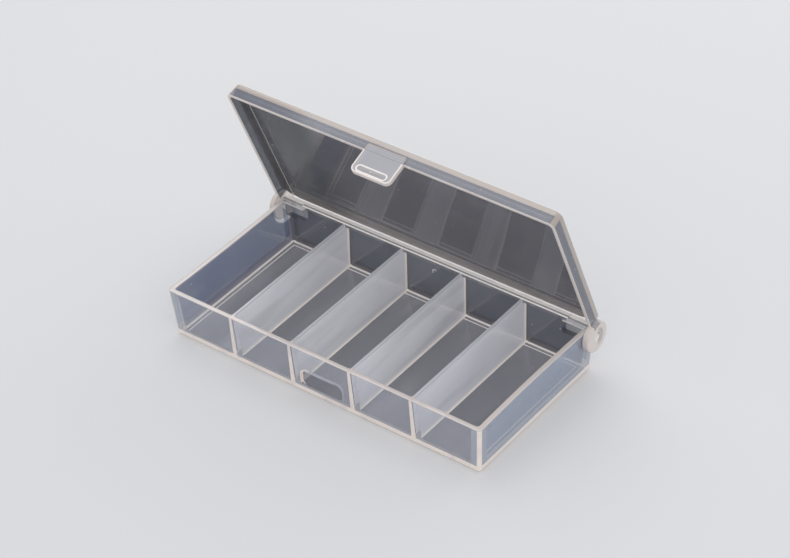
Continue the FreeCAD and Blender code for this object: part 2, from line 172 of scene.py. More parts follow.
class BeadBoxLid(PropertyGroup):
    """Sizes of the lid and its latch tab."""

    gap: length("Gap", "Between tray and skirt, and between tray and ear", 0.2)
    seat_gap: length("Seat gap", "Between dividers and lid when it is shut", 0.2)
    skirt: length("Skirt", "Thickness of the skirt", 1.15)
    lap: length("Lap", "How far the skirt reaches down past the rim", 3.5)
    foot_round: length("Skirt rounding", "Rounding along the skirt's free edge", 0.15)
    plate: length("Plate", "Thickness of the lid at its border", 1.4)
    lean: length("Skirt lean", "How far the skirt leans in towards the top", 0.3)
    edge_round: length("Edge rounding", "Rounding round the lid's top", 0.5)
    back_corner: length("Back corner", "Radius of the lid's back corners", 4.0)
    back_inset: length("Back inset", "Lid's back edge in front of the pins", 2.5)
    panel_step: length("Panel step", "How far the inner panel stands below the border", 0.3)
    panel_gap: length("Panel gap", "Inner panel's edge to the inside of the tray's walls", 0.85)
    panel_corner: length("Panel corner", "Radius of the inner panel's corners", 3.5)
    panel_round: length("Panel rounding", "Rounding round the inner panel", 0.15)
    panel_back: length("Panel back", "Inner panel's back edge in front of the lid's", 0.02)
    ear: length("Ear", "Radius of the ears", 5.69)
    ear_thick: length("Ear thickness", "Thickness of the ears", 2.0)
    ear_round: length("Ear rounding", "Rounding round the outside of an ear", 0.45)
    dimple: length("Dimple", "Radius of the dimple in an ear", 1.3)
    pin_round: length("Pin rounding", "Rounding round the end of a pin", 0.4)
    tab_wide: length("Tab width", "Width of the latch tab", 16.0)
    tab_long: length("Tab length", "How far the latch tab reaches below the skirt", 9.0)
    tab_thick: length("Tab thickness", "Thickness of the latch tab", 1.5)
    tab_root: length("Tab root", "Height of the tab's root on the skirt", 2.8)
    tab_root_corner: length("Root corner", "Corner radius at the top of the tab's root", 1.0)
    tab_corner: length("Tab corner", "Corner radius at the foot of the tab", 2.2)
    tab_round: length("Tab rounding", "Rounding along the outer edges of the tab", 0.3)
    tab_seam: length("Tab seam", "Cut between the springy tab and its root", 0.03)
    catch_long: length("Catch length", "Length of the catch bar", 11.6)
    catch_radius: length("Catch radius", "Radius of the catch bar", 1.0)
    catch_round: length("Catch rounding", "Rounding round the ends of the catch bar", 0.3)
    catch_hold: length("Catch hold", "How far the catch bar reaches behind the lip", 0.45)
    catch_gap: length("Catch gap", "Catch bar below the lip when the lid is shut", 0.6)


class BeadBoxPlastic(PropertyGroup):
    """Colours of the milky clear plastic, among them painted glow, highlights and shade, and how much one
    face of it hides.
    """

    wall_outside: colour("Wall outside", "Blue-grey of a wall's outer face", 0.44, 0.52, 0.65)
    wall_inside: colour("Wall inside", "Darker blue of a wall's inner face", 0.022, 0.062, 0.20)
    front_outside: colour("Front outside", "Warmer grey of the front wall, the clearest", 0.51, 0.535, 0.62)
    back_inside: colour("Back inside", "Dark grey of the back wall's inner face", 0.04, 0.048, 0.074)
    # Painted shade in a band along the back bead and on its front.
    bead_shade: colour("Back band", "Grey of the groove on the back bead and of its front", 0.17, 0.175, 0.195)
    # Painted shade in the latch recess.
    recess: colour("Recess", "Dark grey of the thin wall in the latch recess", 0.135, 0.138, 0.17)
    block: colour("Pin block", "Grey of the pin blocks in the back corners", 0.04, 0.044, 0.058)
    column: colour("Column", "Blue-grey of the solid plastic in an upright corner", 0.35, 0.39, 0.47)
    floor: colour("Floor", "Dark grey of the tray's floor", 0.14, 0.139, 0.18)
    divider: colour("Divider", "Milky grey of the dividers", 0.96, 0.955, 1.0)
    # Painted highlight on the dividers' top edges.
    divider_top: colour("Divider top", "Cool white of a divider's top edge", 0.55, 0.57, 0.60)
    plate: colour("Plate", "Dark grey of the lid's plate", 0.036, 0.034, 0.052)
    # Painted shade: the plate darker inside towards its left end, where it reflects less.
    plate_dull: colour("Dull plate", "Darker grey at the left end inside the plate", 0.018, 0.02, 0.032)
    skirt_inside: colour("Skirt inside", "Dark blue of the skirt's inner face", 0.04, 0.055, 0.09)
    skirt_outside: colour("Skirt outside", "Blue-grey of the skirt's outer face", 0.225, 0.235, 0.275)
    # The ears' own milky white, also laid as a painted glow on thin outlines.
    ear: colour("Ear", "Warm milky white of the ears and of thin outlines", 0.76, 0.69, 0.65)
    ear_shade: colour("Ear shade", "Darker crescent beside the dimple in an ear", 0.22, 0.195, 0.18)
    tab: colour("Tab", "Milky grey of the latch tab", 0.30, 0.30, 0.335)
    bar: colour("Catch bar", "Grey of the catch bar seen through the tab", 0.26, 0.26, 0.27)
    # Painted glow where light leaves an edge, on rims, corners and rings; also the colour of the specks of
    # dust.
    edge: colour("Edge", "Cream that gathers where light leaves an edge", 0.64, 0.575, 0.54)
    # Painted glow on the lid's edges, kept darker since they face more light.
    lid_edge_glow: colour("Lid edge", "Cream of the lid's edges, which face more light", 0.42, 0.36, 0.32)
    # Painted glow round the underside and on some outlines, kept brighter since it faces less light.
    foot_edge_glow: colour("Foot edge", "Cream round the underside, which faces less light", 0.95, 0.84, 0.76)
    # Painted highlights: the thin bright lines inside the box, and the ears' inner faces brightened where
    # they lie in shade.
    line: colour("Line", "Bright cream of the thin lines inside the box", 1.0, 0.93, 0.87)
    # Painted glint on the pins, the dimples and the gate mark.
    shine: colour("Shine", "White of the pins, the dimples and the gate mark", 0.85, 0.84, 0.84)
    haze: colour("Haze", "Pale grey of clouds, streaks and hazy places", 0.45, 0.45, 0.48)
    wall_cover: hidden_share("Wall", "a wall's outer face", 0.5)
    front_cover: hidden_share("Front", "the front wall's outer face", 0.3)
    inside_cover: hidden_share("Inside", "a wall's inner face", 0.7)
    front_inside_cover: hidden_share("Front inside", "the front wall's inner face", 0.06)
    back_cover: hidden_share("Back", "the back wall's inner face", 0.86)
    recess_cover: hidden_share("Recess", "the latch recess", 0.6)
    block_cover: hidden_share("Block", "a pin block", 0.62)
    block_top_cover: hidden_share("Block top", "the top of a pin block", 0.4)
    column_cover: hidden_share("Column", "the plastic in an upright corner", 0.82)
    ear_window: share("Ear window", "How much an end wall's face hides of an ear", 0.12)
    floor_cover: hidden_share("Floor", "the floor's face", 0.58)
    divider_cover: hidden_share("Divider", "a divider's face", 0.9)
    plate_cover: hidden_share("Plate", "the lid's face", 0.74)
    skirt_cover: hidden_share("Skirt", "the skirt's outer face", 0.6)
    ear_cover: hidden_share("Ear", "an ear's face", 0.8)
    pin_cover: hidden_share("Pin", "a pin", 0.9)
    tab_cover: hidden_share("Tab", "the latch tab's face", 0.7)
    root_cover: hidden_share("Root", "the root of the latch tab", 0.92)
    edge_cover: hidden_share("Edge", "an edge", 0.9)
    shine_cover: hidden_share("Shine", "a shining spot", 0.95)
    speck_cover: hidden_share("Speck", "a speck of dust", 0.8)
    gloss: share("Gloss", "Strength of the gloss on tray and tab", 0.8)
    coat: share("Coat", "Strength of the clear coat on tray and tab", 0.64)
    lid_gloss: share("Lid gloss", "Strength of the gloss on the lid", 0.12)
    lid_coat: share("Lid coat", "Strength of the clear coat on the lid", 0.9)
    shadow_pass: share("Shadow pass", "Share of the light that plastic scatters and still passes on", 0.65)
    cloud: share("Clouds", "Strength of the milky clouds", 0.1)
    streak: share("Streaks", "Strength of the flow streaks", 0.35)


class BeadBoxStage(PropertyGroup):
    """Camera, floor and sky."""

    camera_place: point("Camera", "Where the camera stands", 0.466, -0.56165, 0.60161)
    camera_target: point("Target", "The point in the middle of the picture", -0.00426, 0.01477, 0.019)
    camera_roll: FloatProperty(name="Roll", description="Turn of the camera about its line of sight",
                               subtype="ANGLE", unit="ROTATION", default=math.radians(-3.42))
    camera_lens: FloatProperty(name="Lens", description="Focal length on a 36 mm wide sensor, in millimetres",
                               default=127.9, min=1)
    floor_colour: colour("Floor", "Pale grey of the floor", 0.62, 0.62, 0.63)
    sky_colour: colour("Sky", "Cool white of the light from all round", 0.97, 0.98, 1.0)
    sky_light: share("Sky light", "Strength of the light from all round", 0.8)


def in_mm(group):
    """A group's sizes as plain numbers, lengths in millimetres."""
    kept = {}
    for name, made in group.bl_rna.properties.items():
        if name not in ("rna_type", "name"):
            kept[name] = getattr(group, name) / (MM if made.unit == "LENGTH" else 1)
    return SimpleNamespace(**kept)


def rounded_loop(box, radii, splits=(1, 1, 1, 1), bend=6):
    """A rounded rectangle as a loop of points, anticlockwise from its low left corner.

    A corner is a quarter circle: its centre plus its radius times cosine and sine. A side is a
    straight run split evenly, so two loops made with the same splits match point for point.
    """
    left, right, front, back = box
    radii = np.broadcast_to(np.asarray(radii, float), 4)
    corners = np.array([(left, front), (right, front), (right, back), (left, back)], float)
    centres = corners + np.array([(1, 1), (-1, 1), (-1, -1), (1, -1)]) * radii[:, None]
    angles = np.pi + np.pi / 2 * (np.arange(4)[:, None] + np.linspace(0, 1, bend + 1))
    arcs = centres[:, None] + radii[:, None, None] * np.stack([np.cos(angles), np.sin(angles)], axis=-1)
    runs = []
    for corner, split in enumerate(splits):
        along = (np.arange(1, split) / split)[:, None]
        runs.append(arcs[corner])
        runs.append(arcs[corner, -1] * (1 - along) + arcs[(corner + 1) % 4, 0] * along)
    return np.concatenate(runs)


def inset(box, depth):
    """A box drawn in by a depth on all four sides."""
    left, right, front, back = box
    return left + depth, right - depth, front + depth, back - depth


def round_steps(radius, count=5):
    """A quarter round from a flat face up to the wall on it.

    Each row says how far the surface still lies inside the wall, radius times one less the sine, and how
    far it has left the face, radius times one less the cosine.
    """
    angle = np.linspace(0, np.pi / 2, count + 1)
    return radius * np.column_stack([1 - np.sin(angle), 1 - np.cos(angle)])


def at_height(loop, z):
    """A flat loop put at a height."""
    return np.column_stack([loop, np.full(len(loop), float(z))])


def inside_convex(points, loop):
    """Which points lie left of every side of an anticlockwise loop, by the sign of a cross product."""
    side = np.roll(loop, -1, axis=0) - loop
    away = points[:, None] - loop
    return (side[:, 0] * away[..., 1] - side[:, 1] * away[..., 0] > 0).all(axis=1)


class Surface:
    """Points and faces of one piece, gathered before they go into a mesh."""

    def __init__(self):
        self.points = np.empty((0, 3))
        self.faces = []

    def skin(self, rings):
        """Joins each ring of points to the next by a band of faces and returns the points' numbers."""
        rings = np.asarray(rings, float)
        numbers = len(self.points) + np.arange(rings.shape[0] * rings.shape[1]).reshape(rings.shape[:2])
        self.points = np.concatenate([self.points, rings.reshape(-1, 3)])
        after = np.roll(numbers, -1, axis=1)
        bands = np.stack([numbers[:-1], after[:-1], after[1:], numbers[1:]], axis=-1)
        self.faces += bands.reshape(-1, 4).tolist()
        return numbers

    def cap(self, ring):
        """Closes a ring with one flat face."""
        self.faces.append(ring.tolist())

    def fill(self, outer, holes):
        """Fills the flat area inside one convex ring and outside others with triangles."""
        loops = [outer, *holes]
        numbers = np.concatenate(loops)
        flat = self.points[numbers, :2]
        ends = np.cumsum([len(loop) for loop in loops])
        starts = ends - [len(loop) for loop in loops]
        edges = np.concatenate([np.column_stack([np.arange(first, last), np.roll(np.arange(first, last), -1)])
                                for first, last in zip(starts, ends)])
        convex_hull, tolerance = 0, 1e-6
        found = delaunay_2d_cdt(flat.tolist(), edges.tolist(), [], convex_hull, tolerance, True)
        faces, origins = found[2:4]
        source = np.array([origin[0] for origin in origins])
        triangles = source[np.array(faces)]
        middles = flat[triangles].mean(axis=1)
        keep = inside_convex(middles, flat[:ends[0]])
        for first, last in zip(starts[1:], ends[1:]):
            keep &= ~inside_convex(middles, flat[first:last])
        self.faces += numbers[triangles[keep]].tolist()

    def flip(self):
        """Turns every face the other way round."""
        self.faces = [face[::-1] for face in self.faces]

    def object(self, name):
        """A new object at the origin whose mesh holds the surface, in metres."""
        mesh = bpy.data.meshes.new(name)
        mesh.from_pydata((self.points * MM).tolist(), [], self.faces)
        made = bpy.data.objects.new(name, mesh)
        bpy.context.scene.collection.objects.link(made)
        return made


def bar(loop, start, end, axes=ALONG_Z, edge=0.0, limits=(-math.inf, math.inf)):
    """A closed bar: a flat loop carried straight from one place to another along a third axis.

    axes is ALONG_X, ALONG_Y or ALONG_Z. A rounded edge at the bar's end draws the loop in towards its
    middle along a quarter circle. The loop's second coordinate is then cut off at its limits.
    """
    way = math.copysign(1, end - start)
    steps = round_steps(edge)[::-1] if edge else np.zeros((1, 2))
    stations = [(0.0, start), *((drawn_in, end - way * left) for drawn_in, left in steps)]
    middle = (loop.max(axis=0) + loop.min(axis=0)) / 2
    reach = (loop.max(axis=0) - loop.min(axis=0)) / 2
    rings = np.array([at_height(middle + (loop - middle) * (1 - drawn_in / reach), place)
                      for drawn_in, place in stations])
    rings[..., 1] = np.clip(rings[..., 1], *limits)
    placed = np.empty_like(rings)
    placed[..., list(axes)] = rings
    surface = Surface()
    numbers = surface.skin(placed)
    surface.cap(numbers[0][::-1])
    surface.cap(numbers[-1])
    if np.linalg.det(np.eye(3)[list(axes)]) * way < 0:
        surface.flip()
    return surface


def turned(profile, y, z, side=1, steps=72):
    """A closed turned shape about an axis along X: each profile row is a place along X and a radius.

    Each row becomes a circle, the axis plus the radius times cosine and sine. side -1 mirrors it.
    """
    along, radius = np.asarray(profile, float).T[..., None]
    angle = np.linspace(0, 2 * np.pi, steps, endpoint=False)
    x = np.repeat(along * side, steps, axis=1)
    rings = np.stack([x, y + radius * np.cos(angle), z + radius * np.sin(angle)], axis=-1)
    surface = Surface()
    numbers = surface.skin(rings)
    surface.cap(numbers[0][::-1])
    surface.cap(numbers[-1])
    if side < 0:
        surface.flip()
    return surface


def carve(piece, operation, surface):
    """Joins a surface to a piece, or cuts it out of the piece."""
    tool = surface.object("tool")
    modifier = piece.modifiers.new(operation, "BOOLEAN")
    modifier.operation = operation
    modifier.solver = "EXACT"
    modifier.object = tool
    with bpy.context.temp_override(object=piece, active_object=piece):
        bpy.ops.object.modifier_apply(modifier=modifier.name)
    bpy.data.meshes.remove(tool.data)
    if not piece.data.polygons:
        raise RuntimeError(f"{piece.name} is empty after {operation}")


def swing_open(piece):
    """Turns a piece that was made shut about the pins, to the angle at which the lid stands."""
    pins = Vector((0, PIN_Y * MM, PIN_Z * MM))
    turn = Matrix.Rotation(-OPENING, 4, "X")
    piece.data.transform(Matrix.Translation(pins) @ turn @ Matrix.Translation(-pins))


def complete(piece, node, material):
    """Smooths a piece between its sharp edges, dresses it and sets it in its CAD node's place."""
    piece.data.materials.clear()
    piece.data.materials.append(material)
    piece.data.shade_smooth()
    piece.data.set_sharp_from_angle(angle=CREASE)
    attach(piece, node)
    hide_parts(node)


def tray_surface(t):
    """The tray without its fittings, one closed surface.

    Outside, a rounded rectangle is carried up from the underside, rounded at foot and rim, and widens
    steadily as the walls lean out. Each compartment is another, carried down from the rim to a
    floor with a rounded edge. The rim's flat top is filled between them.
    """
    surface = Surface()
    half_long, half_deep = t.long / 2, t.deep / 2
    # Rings between foot and rim, and points along the walls, let the end walls bow smoothly.
    levels = np.linspace(t.foot_round, t.high - t.rim_round, 9)[1:-1]
    outer_splits, inner_splits = (24, 16, 24, 16), (4, 16, 4, 16)
    corner_loss = 0.8

    def outer(z, depth):
        x = half_long - t.end_lean * (1 - z / t.high)
        y = half_deep - t.side_lean * (1 - z / t.high)
        box = inset((-x, x, -y, y), depth)
        return at_height(rounded_loop(box, t.corner - depth * corner_loss, outer_splits), z)

    rings = [outer(over, depth) for depth, over in round_steps(t.foot_round)]
    rings += [outer(z, 0) for z in levels]
    rings += [outer(t.high - over, depth) for depth, over in round_steps(t.rim_round)[::-1]]
    shell = surface.skin(rings)
    surface.cap(shell[0][::-1])

    cups = int(t.dividers) + 1
    middles = (np.arange(cups + 1) - cups / 2) * t.pitch
    floor_x = half_long - t.end_lean * (1 - t.floor / t.high) - t.end_wall
    floor_y = half_deep - t.side_lean * (1 - t.floor / t.high)
    rims = []
    for cup in range(cups):
        at_left, at_right = cup == 0, cup == cups - 1

        def inner(z, depth):
            up = (z - t.floor) / (t.high - t.floor)
            divider = (t.divider_foot * (1 - up) + t.divider_top * up) / 2
            end = floor_x * (1 - up) + (half_long - t.end_wall) * up
            side = floor_y * (1 - up) + half_deep * up
            start = -end if at_left else middles[cup] + divider
            stop = end if at_right else middles[cup + 1] - divider
            box = inset((start, stop, t.front_wall - side, side - t.back_wall), depth)
            left, right = (t.cup_corner if at_end else t.divider_corner for at_end in (at_left, at_right))
            radii = np.array([left, right, right, left]) + t.corner_growth * (1 - up)
            return at_height(rounded_loop(box, radii - depth, inner_splits), z)

        rings = [inner(t.high - over, -depth) for depth, over in round_steps(t.rim_round)]
        rings += [inner(z, 0) for z in levels[levels > t.floor + t.floor_round][::-1]]
        rings += [inner(t.floor + over, depth) for depth, over in round_steps(t.floor_round)[::-1]]
        cup_rings = surface.skin(rings)
        surface.cap(cup_rings[-1])
        rims.append(cup_rings[0])
    surface.fill(shell[-1], rims)

    # The end walls have shrunk inwards: most at the middle of the rim, not at all at corners or underside.
    x, y, z = surface.points.T
    bow_zone, bow_fade = 8, 4
    towards_end = np.clip((np.abs(x) - (half_long - bow_zone)) / bow_fade, 0, 1)
    share_of_bow = np.clip(1 - (y / half_deep) ** 2, 0, 1) * (z / t.high) ** BOW_POWER * towards_end
    x -= np.sign(x) * np.where(x > 0, t.bow_right, t.bow_left) * share_of_bow
    return surface


def make_tray(t, lid):
    """The whole tray: its surface, the bead, pin blocks and lip joined on, sockets and recess cut out."""
    piece = tray_surface(t).object("tray_moulding")
    half_long, half_deep = t.long / 2, t.deep / 2
    inner_back = half_deep - t.back_wall

    bead = rounded_loop((inner_back - t.bead_proud, half_deep - t.bead_inset, t.high - t.bead_deep,
                         t.high + t.bead_rise), (t.bead_foot_round, SHARP, t.bead_round, t.bead_front_round))
    bead_reach = half_long - t.bead_end
    carve(piece, "UNION", bar(bead, -bead_reach, bead_reach, ALONG_X, edge=t.bead_end_round))

    socket = t.pin + t.pin_play
    block_start = half_long - t.end_wall - t.block_long
    block = rounded_loop((PIN_Y - socket - t.socket_wall, inner_back + t.back_wall / 3,
                          PIN_Z - socket - t.socket_wall, t.high - t.block_top_gap),
                         (t.block_round, SHARP, SHARP, t.block_top_round))
    in_wall = half_long - t.end_wall * 2 / 3
    for side in (-1, 1):
        carve(piece, "UNION", bar(block, side * in_wall, side * block_start, ALONG_X, edge=t.block_end_round))
    socket_ends = (half_long + lid.gap - t.pin_long - t.pin_end_gap, half_long + OVERSHOOT)
    for side in (-1, 1):
        carve(piece, "DIFFERENCE", turned([(end, socket) for end in socket_ends], PIN_Y, PIN_Z, side))

    recess_back = -(half_deep - t.side_lean * (1 - t.ledge_high / t.high) - t.recess_deep)
    recess = rounded_loop((-t.recess_wide / 2, t.recess_wide / 2, t.recess_foot, t.ledge_high),
                          (t.recess_foot_corner, t.recess_foot_corner, t.recess_corner, t.recess_corner))
    carve(piece, "DIFFERENCE", bar(recess, -half_deep - OVERSHOOT, recess_back, ALONG_Y))
    lip_top = t.ledge_high + t.lip_high
    lip = rounded_loop((-t.lip_long / 2, t.lip_long / 2, t.ledge_high, lip_top), t.lip_corner)
    carve(piece, "UNION", bar(lip, recess_back, -half_deep, ALONG_Y, edge=t.lip_round))
    return piece


def lid_lines(t, lid):
    """Where the surfaces of the shut lid lie, worked out from the tray's sizes and the lid's own."""
    panel_z = t.high + lid.seat_gap
    border_z = panel_z + lid.panel_step
    return SimpleNamespace(
        inner_x=t.long / 2 + lid.gap,
        inner_y=t.deep / 2 + lid.gap,
        inner_corner=t.corner + lid.gap,
        back=PIN_Y - lid.back_inset,
        foot=t.high - lid.lap,
        panel_z=panel_z,
        border_z=border_z,
        top=border_z + lid.plate,
        panel_x=t.long / 2 - t.end_wall - lid.panel_gap,
        panel_front=t.deep / 2 - t.front_wall - lid.panel_gap,
        catch_z=t.ledge_high - lid.catch_gap - lid.catch_radius,
    )


def make_lid(t, lid):
    """The whole lid, made shut: plate and skirt, inner panel, the tab's root, and both ears with pins."""
    at = lid_lines(t, lid)
    outer_x, outer_y = at.inner_x + lid.skirt, at.inner_y + lid.skirt
    front_corner = at.inner_corner + lid.skirt

    def outer(z, depth):
        lean = lid.lean * (z - at.foot) / (at.top - at.foot)
        box = (lean - outer_x, outer_x - lean, lean - outer_y, at.back)
        radii = np.array([front_corner, front_corner, lid.back_corner, lid.back_corner])
        return at_height(rounded_loop(inset(box, depth), radii - depth, bend=10), z)

    surface = Surface()
    rings = [outer(at.foot + left, depth) for depth, left in round_steps(lid.foot_round)]
    rings += [outer(at.top - left, depth) for depth, left in round_steps(lid.edge_round)[::-1]]
    shell = surface.skin(rings)
    surface.cap(shell[0][::-1])
    surface.cap(shell[-1])
    piece = surface.object("lid_moulding")

    inside = rounded_loop((-at.inner_x, at.inner_x, -at.inner_y, at.back + OVERSHOOT),
                          (at.inner_corner, at.inner_corner, SHARP, SHARP))
    carve(piece, "DIFFERENCE", bar(inside, at.foot - OVERSHOOT, at.border_z))
    panel = rounded_loop((-at.panel_x, at.panel_x, -at.panel_front, at.back - lid.panel_back),
                         lid.panel_corner, bend=10)
    carve(piece, "UNION", bar(panel, at.border_z + lid.plate / 3, at.panel_z, edge=lid.panel_round))
    root_box = (-lid.tab_wide / 2, lid.tab_wide / 2, at.foot - lid.tab_round, at.foot + lid.tab_root)
    root = rounded_loop(root_box, (SHARP, SHARP, lid.tab_root_corner, lid.tab_root_corner))
    above_foot = 0.01
    carve(piece, "UNION", bar(root, -at.inner_y - lid.skirt / 3, -at.inner_y - lid.tab_thick, ALONG_Y,
                              edge=lid.tab_round, limits=(at.foot + above_foot, at.top)))
    add_nubs(piece, at)
    add_ears(piece, t, lid, at)
    swing_open(piece)
    return piece


def add_nubs(piece, at):
    """Four nubs on the skirt's free edge, two in front and one at each side, each a small turned spindle."""
    spindle = [(-0.5, 0.1), (-0.35, 0.32), (0.0, 0.42), (0.35, 0.32), (0.5, 0.1)]
    front_y, side_x, middle_z = -at.inner_y - 0.6, at.inner_x + 0.58, at.foot + 0.1
    for x, y in ((-17.2, front_y), (10.1, front_y), (-side_x, -24.4), (side_x, -23.2)):
        profile = [(x + along, radius) for along, radius in spindle]
        carve(piece, "UNION", turned(profile, y, middle_z, steps=16))


def add_ears(piece, t, lid, at):
    """Both ears with their pins, each one profile: the pin's round end, the ear's round edge, its dimple."""
    pin_end, face = at.inner_x - t.pin_long, at.inner_x + lid.ear_thick
    pin_nose = [(pin_end + left, t.pin - depth) for depth, left in round_steps(lid.pin_round)]
    ear_edge = [(face - left, lid.ear - depth) for depth, left in round_steps(lid.ear_round)[::-1]]
    # How deep the dimple is sunk, and its radius there.
    dimple_steps = ((0.0, lid.dimple), (0.9, lid.dimple), (1.15, 1.1), (1.3, 0.6))
    dimple = [(face - sunk, radius) for sunk, radius in dimple_steps]
    profile = pin_nose + [(at.inner_x, t.pin), (at.inner_x, lid.ear)] + ear_edge + dimple
    for side in (-1, 1):
        carve(piece, "UNION", turned(profile, PIN_Y, PIN_Z, side))


def make_latch_tab(t, lid):
    """The latch tab, made shut: a tongue with a rounded outer edge, and the catch bar across its inside."""
    at = lid_lines(t, lid)
    tip = at.foot - lid.tab_long
    tongue = rounded_loop((-lid.tab_wide / 2, lid.tab_wide / 2, tip, at.foot + lid.tab_round),
                          (lid.tab_corner, lid.tab_corner, SHARP, SHARP), bend=10)
    piece = bar(tongue, -at.inner_y, -at.inner_y - lid.tab_thick, ALONG_Y, edge=lid.tab_round,
                limits=(tip, at.foot - lid.tab_seam)).object("latch_tongue")
    half = lid.catch_long / 2
    nose = [(half - left, lid.catch_radius - depth) for depth, left in round_steps(lid.catch_round)[::-1]]
    profile = [(-along, radius) for along, radius in nose[::-1]] + nose
    catch_y = -(t.deep / 2 - lid.catch_hold + lid.catch_radius)
    carve(piece, "UNION", turned(profile, catch_y, at.catch_z, steps=40))
    swing_open(piece)
    return piece


class Value:
    """A number that varies over a surface; sums written on it become Math nodes."""

    def __init__(self, wiring, socket):
        self.wiring = wiring
        self.socket = socket

    def __add__(self, other):
        return self.wiring.maths("ADD", self, other)

    def __sub__(self, other):
        return self.wiring.maths("SUBTRACT", self, other)

    def __mul__(self, other):
        return self.wiring.maths("MULTIPLY", self, other)

    def __truediv__(self, other):
        return self.wiring.maths("DIVIDE", self, other)

    def __pow__(self, other):
        return self.wiring.maths("POWER", self, other)

    def __radd__(self, other):
        return self.wiring.maths("ADD", other, self)

    def __rsub__(self, other):
        return self.wiring.maths("SUBTRACT", other, self)

    def __rmul__(self, other):
        return self.wiring.maths("MULTIPLY", other, self)

    def __abs__(self):
        return self.wiring.maths("ABSOLUTE", self)

    def over(self, limit, soft=SOFT):
        """1 where the value is over a limit and 0 where it is under, with a soft step between."""
        made = self.wiring.node("ShaderNodeMapRange", {"interpolation_type": "SMOOTHSTEP"},
                                {"Value": self, "From Min": limit - soft, "From Max": limit + soft})
        return Value(self.wiring, made.outputs["Result"])

    def under(self, limit, soft=SOFT):
        """1 where the value is under a limit and 0 where it is over."""
        return 1 - self.over(limit, soft)

    def between(self, low, high, soft=SOFT):
        """1 where the value is between two limits and 0 elsewhere."""
        return self.over(low, soft) * self.under(high, soft)


def rgba(shade):
    """A colour with full alpha, as a colour socket takes it."""
    return (*shade, 1.0)


class Wiring:
    """Adds and links the nodes of one material."""

    def __init__(self, name):
        self.material = bpy.data.materials.new(name)
        self.material.use_nodes = True
        self.tree = self.material.node_tree
        self.tree.nodes.clear()

    def node(self, kind, settings=None, sockets=None):
        """A node with its settings made first, then its sockets given values or links."""
        made = self.tree.nodes.new(kind)
        for name, setting in (settings or {}).items():
            setattr(made, name, setting)
        for name, source in (sockets or {}).items():
            source = source.socket if isinstance(source, Value) else source
            if isinstance(source, bpy.types.NodeSocket):
                self.tree.links.new(source, made.inputs[name])
            else:
                made.inputs[name].default_value = source
        return made

    def maths(self, operation, *terms):
        """The value of a Math node on its terms."""
        made = self.node("ShaderNodeMath", {"operation": operation}, dict(enumerate(terms)))
        return Value(self, made.outputs[0])

    def least(self, one, other):
        return self.maths("MINIMUM", one, other)

    def most(self, one, other):
        return self.maths("MAXIMUM", one, other)

    def distance(self, one, other):
        """How far two distances at right angles reach together: the square root of their squares' sum."""
        return self.maths("SQRT", one ** 2 + other ** 2)

    def mapped(self, place, sockets):
        """A place that is turned, moved or stretched first."""
        sockets = {"Vector": place, **sockets}
        return self.node("ShaderNodeMapping", {"vector_type": "POINT"}, sockets).outputs["Vector"]


